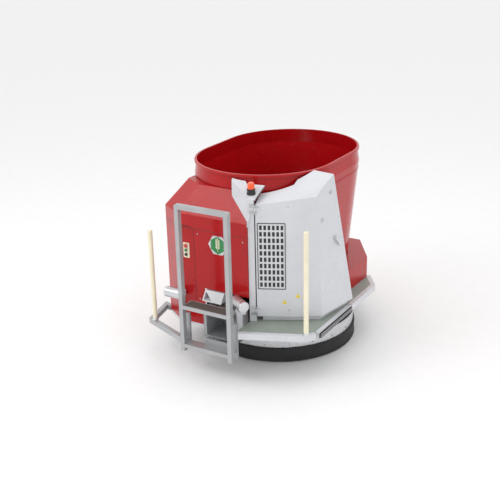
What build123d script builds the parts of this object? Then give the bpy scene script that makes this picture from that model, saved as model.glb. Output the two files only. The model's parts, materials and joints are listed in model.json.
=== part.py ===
"""Self-driving feed mixing and feeding cart, built as separate pieces, in millimetres.

The front with its bumper gate faces -Y, the machine's left side is +X, and the floor is Z = 0.
The origin is on the floor, below the middle of the tub's width.
"""
import os
from math import atan2, cos, hypot, radians, sin

from build123d import *

# ---- driving dimensions: tub ------------------------------------------------
RIM_HEIGHT = 1860.0          # floor to the top of the rim
TUB_Y = 150.0                # tub centre behind the origin
TUB_STRAIGHT = 480.0         # straight length of the tub's oval, along Y
TUB_TOP_R = 700.0            # outer end radius at the collar
TUB_LOW_R = 590.0            # outer end radius at the tub floor
TUB_FLOOR_Z = 600.0
TUB_WALL = 6.0
COLLAR_Z = 1720.0
COLLAR_LEAN = 18.0           # how far the collar leans in towards the rim
RIM_BEAD = 24.0              # height and overhang of the rolled rim
TUB_GAP = 4.0                # covers stay this far from the tub

# ---- driving dimensions: chassis and deck -----------------------------------
FRAME_Z = 292.0
FRAME_H = 60.0
FRAME_W = 50.0
DECK_Z = 500.0               # top of the near deck plate
DECK_T = 6.0
RAIL_W = 46.0
RAIL_H = 60.0
FRAME_FRONT = -1040.0
FRAME_BACK = 840.0
NECK = (-60.0, 215.0)        # the frame's narrow front, between these X
FRAME_OUTLINE = [(NECK[0], FRAME_FRONT), (NECK[1], FRAME_FRONT), (NECK[1], -700), (560, -440), (640, -260),
                 (640, 420), (420, FRAME_BACK), (-420, FRAME_BACK), (-640, 420), (-640, -260), (-440, -500),
                 (NECK[0], -640)]
RAIL_POINTS = [(318, -1196), (872, -962), (938, -872)]
SILL_POINTS = [(-196, -938), (-496, -938), (-706, -796)]
SILL_Z = 326.0
DECK_ARMS = ((470, -480), (615, -240), (615, 330))
ARM_END = 880.0
SIDE_POINTS = [(950, -850), (950, -170)]
REAR_RAIL_POINTS = [(946, -150), (946, 400), (800, 610)]

TUB_LEGS = ((-300, -180), (300, -180), (-300, 500), (300, 500))
LOAD_CELL_H = 40.0
BATTERY_Y = -330.0

# ---- driving dimensions: running gear ---------------------------------------
SKIRT_X = 105.0
SKIRT_Y = -37.0
SKIRT_R = 765.0
SKIRT_CLEAR = 12.0
RUBBER_H = 144.0
RUBBER_T = 14.0
BAND_H = 128.0
COVER_T = 4.0                # fixed cover ring over the skirt
BAND_T = 5.0
DRIVE_R = 130.0
DRIVE_W = 76.0
DRIVE_X = 460.0              # from the skirt centre
DRIVE_Y = 203.0
TYRE_T = 24.0
DRIVE_SHAFT_R = 15.0
CASTOR_R = 100.0
CASTOR_W = 60.0
CASTOR_Y = -540.0
CASTOR_TRAIL = 45.0
CASTOR_PIN_R = 10.0
RUN_FIT = 0.05               # radial running clearance of shafts

# ---- driving dimensions: gate -----------------------------------------------
GATE_Y = -1265.0
GATE_X = 17.5
GATE_HALF = 260.0
GATE_LOW = 220.0
GATE_TOP = 1667.0
POST = 42.0
STEP_Z = 690.0
STEP_DEPTH = 140.0
LOW_BAR_DEPTH = 103.0
LEG_DEPTH = 22.0
LEG_TOP = 570.0
PINS_X = (-20.0, 187.0)
WING_Z = 300.0
WING_POINTS = [(GATE_X - GATE_HALF - POST / 2, GATE_Y + 6), (-770, -1060), (-850, -700), (-768, -722)]
GUIDE_PIN_R = 12.0
PIN_LENGTH = 105.0
ROD_R = 23.0
NEAR_ROD = (887, -949, DECK_Z, 990.0)
FAR_ROD = (-716, -1074, WING_Z + 52, 930.0)

# ---- driving dimensions: covers ---------------------------------------------
SHEET = 4.0
HOOD_Y = -950.0
HOOD_LOW = 356.0
HOOD_CREASE = 1458.0
HOOD_TOP = 1712.0
HOOD_LEFT = -500.0
HOOD_RIGHT = 282.0
HOOD_FAR = (-722.0, -800.0)
HOOD_END = -130.0
NOTCH_LEFT = -196.0
NOTCH_TOP = 742.0
CAB_LOW = 550.0
CAB_TOP = 1880.0
DOOR_GAP = 4.0
CAB_FACE_START = (285.0, -930.0)
CAB_HINGE = (345.0, -904.0)
CAB_FOLD_1 = (638.0, -765.0)
CAB_FOLD_2 = (879.0, -604.0)
CAB_REAR = (959.0, -115.0)
CAB_ROOF_FRONT = 1684.0
CAB_CORNER_2 = (826.0, -640.0, 1730.0)
CAB_CORNER_3 = (866.0, -370.0, 1855.0)
ROOF_GAP = 52.0
ROOF_NOTCH_X = 574.0
HINGE_PIN_R = 5.0
HINGE_R = 9.0
HINGE_LEAF = 3.0
HINGE_STAND = 0.4           # from the knuckle to the panel
VENT_AT = (146.0, 1148.0)
VENT_W = 240.0
VENT_H = 628.0
BEACON_AT = (286.0, -860.0, 1716.0)
BEACON_R = 36.0
BEACON_BASE_H = 56.0
LOCKS = {"upper_lock": (-425.0, 1700.0), "lower_lock": (-560.0, 1473.0)}
HANDLE = (-380.0, 1253.0)
HANDLE_TILT = -54.0
REAR_TOP = 718.0
HINGE_Z = (610.0, 1600.0)
EMBLEM = (-30.0, 1205.0)
PLATE_AT = (-400.0, 1090.0)
PLATE_SIZE = (68.0, 150.0)
BUTTON_Z = (46.0, 2.0, -42.0)
RECESS_AT = (-388.0, 932.0)
RECESS_SIZE = (181.0, 825.0)
RECESS_R = 70.0
RECESS_DEPTH = 22.0
POCKET_X = 65.0
POCKET_LOW = 356.0
POCKET_W = 280.0
POCKET_H = 218.0
POCKET_FRONT = -1124.0
POCKET_LIP = 28.0
BUTTON_STEM_R = 11.0
BUTTON_FIT = 0.3
SENSOR_R = 52.0
SENSOR_L = 180.0
SENSORS = ((318.0, -1085.0, 706.0, -33.0), (-600.0, -1014.0, 655.0, 180.0))   # X, Y, Z, aim
AUGER_CORE_R = 120.0
AUGER_TIP_R = 60.0
AUGER_H = 880.0
AUGER_SHAFT_R = 30.0
AUGER_SHAFT_Z = 380.0
FLIGHT_R = 500.0
AUGER_TURNS = 1.9
DOOR_W = 460.0
DOOR_H = 420.0
DOOR_LIFT = 360.0
LIFT_ROD_TOP = 650.0         # along the wall, from the door's middle
ACTUATOR_LOW = 580.0
ACTUATOR_TOP = 1020.0
EYE_R = 16.0
EYE_T = 20.0


def save(builder, name):
    """Label one finished piece and write its STEP file."""
    builder.part.label = name
    export_step(builder.part, f"parts/{name}.step")


def oval_loft(low_z, low_r, high_z, high_r):
    """A solid tapered oval with straight sides along Y, centred on the tub."""
    with BuildPart(mode=Mode.PRIVATE) as body:
        for height, radius in ((low_z, low_r), (high_z, high_r)):
            with BuildSketch(Plane.XY.offset(height)):
                with Locations((0, TUB_Y)):
                    SlotCenterToCenter(TUB_STRAIGHT, 2 * radius, rotation=90)
        loft()
    return body.part


def tub_envelope(extra, low=TUB_FLOOR_Z - 60, high=RIM_HEIGHT + 20):
    """The outside of the tub, grown by a clearance, for cutting the covers."""
    slope = (TUB_TOP_R - TUB_LOW_R) / (COLLAR_Z - TUB_FLOOR_Z)
    low_r = TUB_LOW_R + slope * (low - TUB_FLOOR_Z) + extra
    high_r = TUB_LOW_R + slope * (high - TUB_FLOOR_Z) + extra
    return oval_loft(low, low_r, high, high_r)


def prism(points, low, high):
    """An upright prism over a plan polygon."""
    with BuildPart(mode=Mode.PRIVATE) as body:
        with BuildSketch(Plane.XY.offset(low)):
            with BuildLine():
                Polyline(*points, close=True)
            make_face()
        extrude(amount=high - low)
    return body.part


def face_plane(origin, a, b):
    """The plane through three points."""
    start = Vector(*origin)
    x_dir = Vector(*a) - start
    normal = x_dir.cross(Vector(*b) - start)
    return Plane(origin=start, x_dir=x_dir, z_dir=normal)


def along(start, end, distance):
    """The point at a distance from start towards end, in plan."""
    length = hypot(end[0] - start[0], end[1] - start[1])
    share = distance / length
    return (start[0] + (end[0] - start[0]) * share, start[1] + (end[1] - start[1]) * share)


# ---- chassis ------------------------------------------------------------------
def make_chassis_frame():
    with BuildPart() as chassis_frame:
        with BuildSketch(Plane.XY.offset(FRAME_Z)):
            Polygon(*FRAME_OUTLINE, align=None)
            offset(amount=-FRAME_W, kind=Kind.INTERSECTION, mode=Mode.SUBTRACT)
        extrude(amount=FRAME_H)
        low, high = TUB_LEGS[0][1] - 200, FRAME_BACK - FRAME_W / 2
        for x in (-300, 300):
            with Locations((x, (low + high) / 2, FRAME_Z + FRAME_H / 2)):
                Box(FRAME_W, high - low, FRAME_H)
        with Locations((0, DRIVE_Y, FRAME_Z + FRAME_H / 2)):
            Box(2 * 620, FRAME_W, FRAME_H)
        with Locations((0, -600, FRAME_Z + FRAME_H / 2)):
            Box(2 * 260, FRAME_W, FRAME_H)
        leg_rise = TUB_FLOOR_Z - 8 - LOAD_CELL_H - FRAME_Z - FRAME_H
        for x, y in TUB_LEGS:
            with Locations((x, y, FRAME_Z + FRAME_H)):
                Box(60, 60, leg_rise, align=(Align.CENTER, Align.CENTER, Align.MIN))
        arm_low = DECK_Z - DECK_T - 48
        for x, y in DECK_ARMS:
            with Locations((x, y, FRAME_Z + FRAME_H)):
                Box(50, 50, arm_low - FRAME_Z - FRAME_H, align=(Align.CENTER, Align.CENTER, Align.MIN))
            with Locations((x - 25, y, arm_low)):
                Box(ARM_END - x + 25, 50, 48, align=(Align.MIN, Align.CENTER, Align.MIN))
        with Locations((SKIRT_X, CASTOR_Y, FRAME_Z - 12)):
            Box(140, 110, 12 + 14, align=(Align.CENTER, Align.CENTER, Align.MIN))
        with Locations((0, BATTERY_Y, FRAME_Z)):
            Box(600, 300, 4, align=(Align.CENTER, Align.CENTER, Align.MIN))
        with BuildSketch(Plane.XY.offset(FRAME_Z - COVER_T)):
            with Locations((SKIRT_X, SKIRT_Y)):
                Circle(SKIRT_R - 5)
                Circle(430, mode=Mode.SUBTRACT)
        extrude(amount=COVER_T)
    save(chassis_frame, "chassis_frame")


def make_deck():
    top = DECK_Z - DECK_T
    with BuildPart() as deck_plate:
        with BuildSketch(Plane.XY.offset(top)):
            with BuildLine():
                Polyline((292, -1130), (330, -1164), (866, -936), (925, -855), (925, 395), (800, 570),
                         (640, 395), (640, -300), (340, -640), (292, -640), close=True)
            make_face()
        extrude(amount=DECK_T)
    save(deck_plate, "deck_plate")
    with BuildPart() as deck_rails:
        for points, low in ((RAIL_POINTS, DECK_Z - RAIL_H), (REAR_RAIL_POINTS, DECK_Z - RAIL_H)):
            with BuildSketch(Plane.XY.offset(low)):
                with BuildLine():
                    Polyline(*points)
                trace(line_width=RAIL_W)
            extrude(amount=RAIL_H)
        with BuildSketch(Plane.XY.offset(SILL_Z)):
            with BuildLine():
                Polyline(*SILL_POINTS)
            trace(line_width=24)
        extrude(amount=HOOD_LOW - SILL_Z)
        add(deck_plate.part, mode=Mode.SUBTRACT)
    save(deck_rails, "deck_rails")


def make_side_buffer():
    length = SIDE_POINTS[1][1] - SIDE_POINTS[0][1]
    middle = (SIDE_POINTS[0][1] + SIDE_POINTS[1][1]) / 2
    with BuildPart() as buffer_base:
        with Locations((SIDE_POINTS[0][0], middle, DECK_Z - RAIL_H / 2)):
            Box(44, length, RAIL_H)
    save(buffer_base, "side_buffer_base")
    with BuildPart() as ribs:
        face = SIDE_POINTS[0][0] + 22
        for index in range(3):
            with Locations((face, middle, DECK_Z - 11 - 19 * index)):
                Box(12, length - 16, 9, align=(Align.MIN, Align.CENTER, Align.CENTER))
    save(ribs, "side_buffer_ribs")


def make_rod(name, x, y, base_z, length):
    """An upright feeler rod with a rounded tip."""
    with BuildPart() as rod:
        with BuildSketch(Plane.XY.offset(base_z)):
            with Locations((x, y)):
                Circle(ROD_R)
        extrude(amount=length)
        fillet(rod.faces().sort_by(Axis.Z)[-1].edges(), ROD_R * 0.4)
    save(rod, name)


def make_tow_eye():
    """Rear recovery eye on the frame, with a bore across it."""
    back = FRAME_BACK
    with BuildPart() as tow_eye:
        with BuildSketch(Plane.YZ.offset(-EYE_T / 2)):
            with Locations((back + 35, FRAME_Z + FRAME_H / 2)):
                Rectangle(70, 50)
            with Locations((back + 70, FRAME_Z + FRAME_H / 2)):
                Circle(34)
                Circle(EYE_R, mode=Mode.SUBTRACT)
        extrude(amount=EYE_T)
    save(tow_eye, "tow_eye")


# ---- tub ------------------------------------------------------------------------
def discharge_cut(width, low, high):
    """The block that opens the tub's far side at the chute."""
    return Pos(-TUB_TOP_R, TUB_Y, (low + high) / 2) * Box(500, width, high - low, mode=Mode.PRIVATE)


def make_tub():
    opening_low = TUB_FLOOR_Z + 10
    with BuildPart() as tub_shell:
        add(oval_loft(TUB_FLOOR_Z, TUB_LOW_R, COLLAR_Z, TUB_TOP_R))
        add(oval_loft(TUB_FLOOR_Z, TUB_LOW_R - TUB_WALL, COLLAR_Z, TUB_TOP_R - TUB_WALL),
            mode=Mode.SUBTRACT)
        add(discharge_cut(DOOR_W - 40, opening_low, opening_low + DOOR_H - 40), mode=Mode.SUBTRACT)
    save(tub_shell, "tub_shell")
    with BuildPart() as tub_floor:
        with BuildSketch(Plane.XY.offset(TUB_FLOOR_Z - 8)):
            with Locations((0, TUB_Y)):
                SlotCenterToCenter(TUB_STRAIGHT, 2 * TUB_LOW_R, rotation=90)
                Circle(46, mode=Mode.SUBTRACT)
        extrude(amount=8)
    save(tub_floor, "tub_floor")
    top = RIM_HEIGHT - RIM_BEAD
    with BuildPart() as rim_collar:
        add(oval_loft(COLLAR_Z, TUB_TOP_R, top, TUB_TOP_R - COLLAR_LEAN))
        with BuildSketch(Plane.XY.offset(top)):
            with Locations((0, TUB_Y)):
                SlotCenterToCenter(TUB_STRAIGHT, 2 * TUB_TOP_R, rotation=90)
        extrude(amount=RIM_BEAD)
        fillet(rim_collar.faces().sort_by(Axis.Z)[-1].edges(), RIM_BEAD * 0.4)
        add(oval_loft(COLLAR_Z, TUB_TOP_R - TUB_WALL, RIM_HEIGHT,
                      TUB_TOP_R - TUB_WALL - COLLAR_LEAN), mode=Mode.SUBTRACT)
    save(rim_collar, "rim_collar")


def make_load_cells():
    with BuildPart() as load_cells:
        with BuildSketch(Plane.XY.offset(TUB_FLOOR_Z - 8 - LOAD_CELL_H)):
            with Locations(*TUB_LEGS):
                Circle(26)
        extrude(amount=LOAD_CELL_H)
    save(load_cells, "load_cells")


def make_drive_train():
    with BuildPart() as gearbox:
        with BuildSketch(Plane.XY.offset(FRAME_Z + FRAME_H)):
            with Locations((0, TUB_Y)):
                Circle(150)
        extrude(amount=TUB_FLOOR_Z - 8 - FRAME_Z - FRAME_H)
        with BuildSketch(Plane.XY.offset(AUGER_SHAFT_Z - 2)):
            with Locations((0, TUB_Y)):
                Circle(AUGER_SHAFT_R + RUN_FIT)
        extrude(amount=TUB_FLOOR_Z - AUGER_SHAFT_Z, mode=Mode.SUBTRACT)
    save(gearbox, "gearbox")
    with BuildPart() as mixing_motor:
        with BuildSketch(Plane.XZ.offset(-TUB_Y - 165)):
            with Locations((0, 460)):
                Circle(85)
        extrude(amount=-260)
        with BuildSketch(Plane.XZ.offset(-TUB_Y - 150)):
            with Locations((0, 460)):
                Circle(50)
        extrude(amount=-15)
    save(mixing_motor, "mixing_motor")
    with BuildPart() as battery_packs:
        for x in (-175, 175):
            with Locations((x, BATTERY_Y, FRAME_Z + 4)):
                Box(180, 260, 190, align=(Align.CENTER, Align.CENTER, Align.MIN))
    save(battery_packs, "battery_packs")


def make_auger():
    low = TUB_FLOOR_Z + 6
    with BuildPart() as auger_core:
        with BuildSketch(Plane.XY.offset(low)):
            with Locations((0, TUB_Y)):
                Circle(AUGER_CORE_R)
        with BuildSketch(Plane.XY.offset(low + AUGER_H)):
            with Locations((0, TUB_Y)):
                Circle(AUGER_TIP_R)
        loft()
        with BuildSketch(Plane.XY.offset(AUGER_SHAFT_Z)):
            with Locations((0, TUB_Y)):
                Circle(AUGER_SHAFT_R)
        extrude(amount=low - AUGER_SHAFT_Z)
    save(auger_core, "auger_core")
    with BuildPart() as auger_flight:
        steps = 44
        for index in range(steps):
            share = index / steps
            angle = 360 * AUGER_TURNS * share
            radius = FLIGHT_R * (1 - 0.55 * share)
            core = AUGER_CORE_R + (AUGER_TIP_R - AUGER_CORE_R) * share - 4
            height = low + 14 + (AUGER_H - 90) * share
            turned = (cos(radians(angle)), sin(radians(angle)), 0)
            with BuildSketch(Plane.XY.offset(height)):
                with BuildLine(Plane(origin=(0, TUB_Y, height), x_dir=turned)):
                    first = (radius, 0)
                    half = (radius * cos(radians(9)), radius * sin(radians(9)))
                    last = (radius * cos(radians(18)), radius * sin(radians(18)))
                    ThreePointArc(first, half, last)
                    Line(last, (core * cos(radians(18)), core * sin(radians(18))))
                    Line((core * cos(radians(18)), core * sin(radians(18))), (core, 0))
                    Line((core, 0), first)
                make_face()
            extrude(amount=26)
        add(auger_core.part, mode=Mode.SUBTRACT)
    save(auger_flight, "auger_flight")
    with BuildPart() as auger_knives:
        for index in range(4):
            share = 0.1 + 0.2 * index
            angle = 360 * AUGER_TURNS * share + 9
            reach = 0.93 * FLIGHT_R * (1 - 0.55 * share)
            height = low + 14 + (AUGER_H - 90) * share + 26
            spot = Pos(reach * cos(radians(angle)), TUB_Y + reach * sin(radians(angle)), height + 24)
            blade = spot * Rot(0, 0, angle) * Box(110, 60, 8, mode=Mode.PRIVATE)
            add(blade)
    save(auger_knives, "auger_knives")


# ---- discharge ------------------------------------------------------------------
def discharge_plane():
    """The plane that the sliding door moves in, against the leaning far wall."""
    lean = atan2(TUB_TOP_R - TUB_LOW_R, COLLAR_Z - TUB_FLOOR_Z)
    z_mid = TUB_FLOOR_Z + 10 + DOOR_H / 2
    slope = (TUB_TOP_R - TUB_LOW_R) / (COLLAR_Z - TUB_FLOOR_Z)
    x_mid = -(TUB_LOW_R + slope * (z_mid - TUB_FLOOR_Z))
    return Plane(origin=(x_mid, TUB_Y, z_mid), x_dir=(0, -1, 0), z_dir=(-cos(lean), 0, -sin(lean)))


def make_discharge():
    plane = discharge_plane()
    with BuildPart() as discharge_door:
        with BuildSketch(plane.offset(3)):
            Rectangle(DOOR_W, DOOR_H)
        extrude(amount=6)
        with BuildSketch(plane.offset(9)):
            Rectangle(DOOR_W - 120, 30)
        extrude(amount=14)
        with BuildSketch(plane.offset(10)):
            with Locations((0, (LIFT_ROD_TOP - 120) / 2)):
                Rectangle(22, LIFT_ROD_TOP + 120)
        extrude(amount=12)
    save(discharge_door, "discharge_door")
    with BuildPart() as door_guides:
        for side in (-1, 1):
            with BuildSketch(plane.offset(1)):
                with Locations((side * (DOOR_W / 2 + 12), DOOR_LIFT / 2)):
                    Rectangle(22, DOOR_H + DOOR_LIFT)
            extrude(amount=22)
    save(door_guides, "door_guides")
    with BuildPart() as lift_actuator:
        with BuildSketch(plane.offset(4)):
            with Locations((0, (ACTUATOR_LOW + ACTUATOR_TOP) / 2)):
                Rectangle(56, ACTUATOR_TOP - ACTUATOR_LOW)
        extrude(amount=44)
        with BuildSketch(plane.offset(9.6)):
            with Locations((0, (ACTUATOR_LOW + ACTUATOR_TOP) / 2 - 5)):
                Rectangle(22.8, ACTUATOR_TOP - ACTUATOR_LOW)
        extrude(amount=12.8, mode=Mode.SUBTRACT)
    save(lift_actuator, "lift_actuator")
    with BuildPart() as discharge_chute:
        low_z = FRAME_Z + FRAME_H
        x_in = -TUB_LOW_R - 14
        with BuildSketch(Plane.XZ.offset(-TUB_Y - DOOR_W / 2)):
            with BuildLine():
                Polyline((x_in, TUB_FLOOR_Z - 4), (x_in, TUB_FLOOR_Z - 12),
                         (-760, low_z + 40), (-760, low_z + 48), close=True)
            make_face()
        extrude(amount=DOOR_W)
    save(discharge_chute, "discharge_chute")


# ---- running gear ---------------------------------------------------------------
def make_drive_wheel(side, tag):
    x = SKIRT_X + side * DRIVE_X
    inner = x - side * DRIVE_W / 2
    with BuildPart() as tyre:
        with BuildSketch(Plane.YZ.offset(x - DRIVE_W / 2)):
            with Locations((DRIVE_Y, DRIVE_R)):
                Circle(DRIVE_R)
                Circle(DRIVE_R - TYRE_T, mode=Mode.SUBTRACT)
        extrude(amount=DRIVE_W)
        chamfer(tyre.edges().filter_by(GeomType.CIRCLE).group_by(SortBy.RADIUS)[-1], 6)
    save(tyre, f"drive_tyre_{tag}")
    with BuildPart() as hub:
        with BuildSketch(Plane.YZ.offset(x - DRIVE_W / 2 + 8)):
            with Locations((DRIVE_Y, DRIVE_R)):
                Circle(DRIVE_R - TYRE_T)
        extrude(amount=DRIVE_W - 16)
        with BuildSketch(Plane.YZ.offset(x)):
            with Locations((DRIVE_Y, DRIVE_R)):
                Circle(DRIVE_SHAFT_R)
        extrude(amount=inner - x - side * 60)
    save(hub, f"drive_hub_{tag}")


def make_wheel_motors():
    with BuildPart() as wheel_motors:
        for side in (-1, 1):
            near = SKIRT_X + side * (DRIVE_X - DRIVE_W / 2 - 10)
            with BuildSketch(Plane.YZ.offset(near)):
                with Locations((DRIVE_Y, DRIVE_R)):
                    Circle(60)
                    Circle(DRIVE_SHAFT_R + RUN_FIT, mode=Mode.SUBTRACT)
            extrude(amount=-side * 60)
            with BuildSketch(Plane.YZ.offset(near - side * 60)):
                with Locations((DRIVE_Y, DRIVE_R)):
                    Circle(60)
            extrude(amount=-side * 90)
            with Locations((near - side * 60, DRIVE_Y, DRIVE_R + 50)):
                Box(90, 60, FRAME_Z - COVER_T - DRIVE_R - 50, align=(Align.CENTER, Align.CENTER, Align.MIN))
    save(wheel_motors, "wheel_motors")


def make_castor():
    wheel_y = CASTOR_Y + CASTOR_TRAIL
    top = FRAME_Z - 12 - 2
    with BuildPart() as castor_fork:
        with BuildSketch(Plane.XY.offset(top - 12)):
            with Locations((SKIRT_X, CASTOR_Y)):
                Circle(48)
            with Locations((SKIRT_X, CASTOR_Y + CASTOR_TRAIL / 2)):
                Rectangle(CASTOR_W + 32, 70 + CASTOR_TRAIL)
        extrude(amount=12)
        for side in (-1, 1):
            cheek = side * (CASTOR_W / 2 + 6)
            with BuildSketch(Plane.YZ.offset(SKIRT_X + (cheek if side > 0 else cheek - 10))):
                with BuildLine():
                    Polyline((CASTOR_Y - 20, top - 12), (CASTOR_Y + 90, top - 12),
                             (wheel_y + 22, CASTOR_R - 20), (wheel_y - 22, CASTOR_R - 20), close=True)
                make_face()
            extrude(amount=10)
        with BuildSketch(Plane.YZ.offset(SKIRT_X - CASTOR_W / 2 - 16)):
            with Locations((wheel_y, CASTOR_R)):
                Circle(CASTOR_PIN_R)
        extrude(amount=CASTOR_W + 32)
    save(castor_fork, "castor_fork")
    with BuildPart() as castor_wheel:
        with BuildSketch(Plane.YZ.offset(SKIRT_X - CASTOR_W / 2)):
            with Locations((wheel_y, CASTOR_R)):
                Circle(CASTOR_R)
                Circle(CASTOR_PIN_R + RUN_FIT, mode=Mode.SUBTRACT)
        extrude(amount=CASTOR_W)
        chamfer(castor_wheel.edges().filter_by(GeomType.CIRCLE).group_by(SortBy.RADIUS)[-1], 6)
    save(castor_wheel, "castor_wheel")


def make_skirt():
    band_z = SKIRT_CLEAR + RUBBER_H - 40
    band_r = SKIRT_R - RUBBER_T
    centre = (SKIRT_X, SKIRT_Y)
    with BuildPart() as skirt_rubber:
        with BuildSketch(Plane.XY.offset(SKIRT_CLEAR)):
            with Locations(centre):
                Circle(SKIRT_R)
                Circle(band_r, mode=Mode.SUBTRACT)
        extrude(amount=RUBBER_H)
        fillet(skirt_rubber.edges().filter_by(GeomType.CIRCLE).group_by(SortBy.RADIUS)[-1], 4)
    save(skirt_rubber, "skirt_rubber")
    with BuildPart() as skirt_ring:
        with BuildSketch(Plane.XY.offset(band_z)):
            with Locations(centre):
                Circle(band_r)
                Circle(band_r - BAND_T, mode=Mode.SUBTRACT)
        extrude(amount=BAND_H + 40)
    save(skirt_ring, "skirt_ring")
    with BuildPart() as skirt_bolts:
        with Locations(centre):
            with PolarLocations(band_r, 20):
                with Locations(Location((0, 0, SKIRT_CLEAR + RUBBER_H + 30), (0, 90, 0))):
                    Cylinder(7, 7, align=(Align.CENTER, Align.CENTER, Align.MIN))
    save(skirt_bolts, "skirt_bolts")
    with BuildPart() as skirt_guides:
        reach = band_r - BAND_T - 1.0
        low = FRAME_Z - COVER_T - 90
        for angle in (0, 90, 180, 270):
            with Locations(Location((*centre, low), (0, 0, angle))):
                with Locations((reach - 22, 0, 0)):
                    Cylinder(22, 56, align=(Align.CENTER, Align.CENTER, Align.MIN))
                with Locations((reach - 40, 0, 56)):
                    Box(76, 50, 34, align=(Align.CENTER, Align.CENTER, Align.MIN))
    save(skirt_guides, "skirt_guides")


# ---- gate -----------------------------------------------------------------------
def make_gate():
    span = 2 * GATE_HALF
    front = GATE_Y - POST / 2 - 4
    low_back = front + LOW_BAR_DEPTH
    with BuildPart() as gate_frame:
        for side in (-1, 1):
            x = GATE_X + side * GATE_HALF
            with Locations((x, GATE_Y, GATE_LOW)):
                Box(POST, POST + 8, GATE_TOP - GATE_LOW, align=(Align.CENTER, Align.CENTER, Align.MIN))
            with Locations((x, low_back, GATE_LOW)):
                Box(POST, LEG_DEPTH, LEG_TOP - GATE_LOW, align=(Align.CENTER, Align.MIN, Align.MIN))
        with Locations((GATE_X, GATE_Y, GATE_TOP - POST)):
            Box(span, POST + 8, POST, align=(Align.CENTER, Align.CENTER, Align.MIN))
        with Locations((GATE_X, front, GATE_LOW + 40)):
            Box(span + POST, LOW_BAR_DEPTH, 36, align=(Align.CENTER, Align.MIN, Align.MIN))
        with Locations(((NECK[0] + GATE_X + GATE_HALF) / 2, low_back, GATE_LOW + 40)):
            Box(GATE_X + GATE_HALF - NECK[0], 20, FRAME_Z + FRAME_H - GATE_LOW - 40,
                align=(Align.CENTER, Align.MIN, Align.MIN))
        fillet(gate_frame.faces().sort_by(Axis.Z)[-1].edges().filter_by(Axis.Y), 14)
        with BuildSketch(Plane.XZ.offset(-low_back - 10)):
            with Locations(*((x, FRAME_Z + FRAME_H / 2) for x in PINS_X)):
                Circle(GUIDE_PIN_R)
        extrude(amount=-PIN_LENGTH)
    save(gate_frame, "gate_frame")
    with BuildPart() as step_plate:
        with Locations((GATE_X, front, STEP_Z - 36)):
            Box(span - POST, STEP_DEPTH, 36, align=(Align.CENTER, Align.MIN, Align.MIN))
        offset(amount=-4, openings=step_plate.faces().sort_by(Axis.Z)[0])
    save(step_plate, "step_plate")
    with BuildPart() as wing_tube:
        with BuildSketch(Plane.XY.offset(WING_Z)):
            with BuildLine():
                Polyline(*WING_POINTS)
            trace(line_width=46)
        extrude(amount=52)
        add(gate_frame.part, mode=Mode.SUBTRACT)
    save(wing_tube, "wing_tube")
    with BuildPart() as gate_guides:
        with BuildSketch(Plane.XZ.offset(-FRAME_FRONT)):
            for x in PINS_X:
                with Locations((x, FRAME_Z + FRAME_H / 2)):
                    Rectangle(56, FRAME_H)
                    Circle(GUIDE_PIN_R + RUN_FIT, mode=Mode.SUBTRACT)
        extrude(amount=70)
    save(gate_guides, "gate_guides")


# ---- front fittings --------------------------------------------------------------
def make_dock():
    middle = POCKET_LOW + POCKET_H / 2
    depth = -830 - POCKET_FRONT
    with BuildPart() as docking_pocket:
        with BuildSketch(Plane.XZ.offset(-POCKET_FRONT)):
            with Locations((POCKET_X, middle)):
                Rectangle(POCKET_W, POCKET_H)
        extrude(amount=-depth)
        offset(amount=-SHEET, openings=docking_pocket.faces().sort_by(Axis.Y)[0])
        with BuildSketch(Plane.XZ.offset(-POCKET_FRONT)):
            with Locations((POCKET_X, middle)):
                Rectangle(POCKET_W + 2 * POCKET_LIP, POCKET_H + POCKET_LIP)
                Rectangle(POCKET_W - 2 * SHEET, POCKET_H - 2 * SHEET, mode=Mode.SUBTRACT)
        extrude(amount=SHEET)
        with Locations((POCKET_X, -960, FRAME_Z + FRAME_H)):
            Box(200, 120, POCKET_LOW - FRAME_Z - FRAME_H, align=(Align.CENTER, Align.CENTER, Align.MIN))
    save(docking_pocket, "docking_pocket")
    with BuildPart() as charging_funnel:
        with BuildSketch(Plane.YZ.offset(-180)):
            with BuildLine():
                Polyline((-1030, 648), (-870, 648), (-870, 735), (-965, 735), close=True)
            make_face()
        extrude(amount=210)
        with BuildSketch(Plane.XZ.offset(1040)):
            with BuildLine():
                Polyline((-168, 724), (-168, 656), (-76, 656), close=True)
            make_face()
        extrude(amount=-110, mode=Mode.SUBTRACT)
    save(charging_funnel, "charging_funnel")
    with BuildPart() as charging_contacts:
        for x in (-154, -132):
            with Locations((x, -935, 661)):
                Box(12, 10, 22, align=(Align.CENTER, Align.CENTER, Align.MIN))
    save(charging_contacts, "charging_contacts")


def sensor_plane(x, y, z, aim):
    """The end face of a distance sensor, aimed at an angle in plan."""
    return Plane(origin=(x, y, z), x_dir=(0, 0, 1), z_dir=(cos(radians(aim)), sin(radians(aim)), 0))


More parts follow.
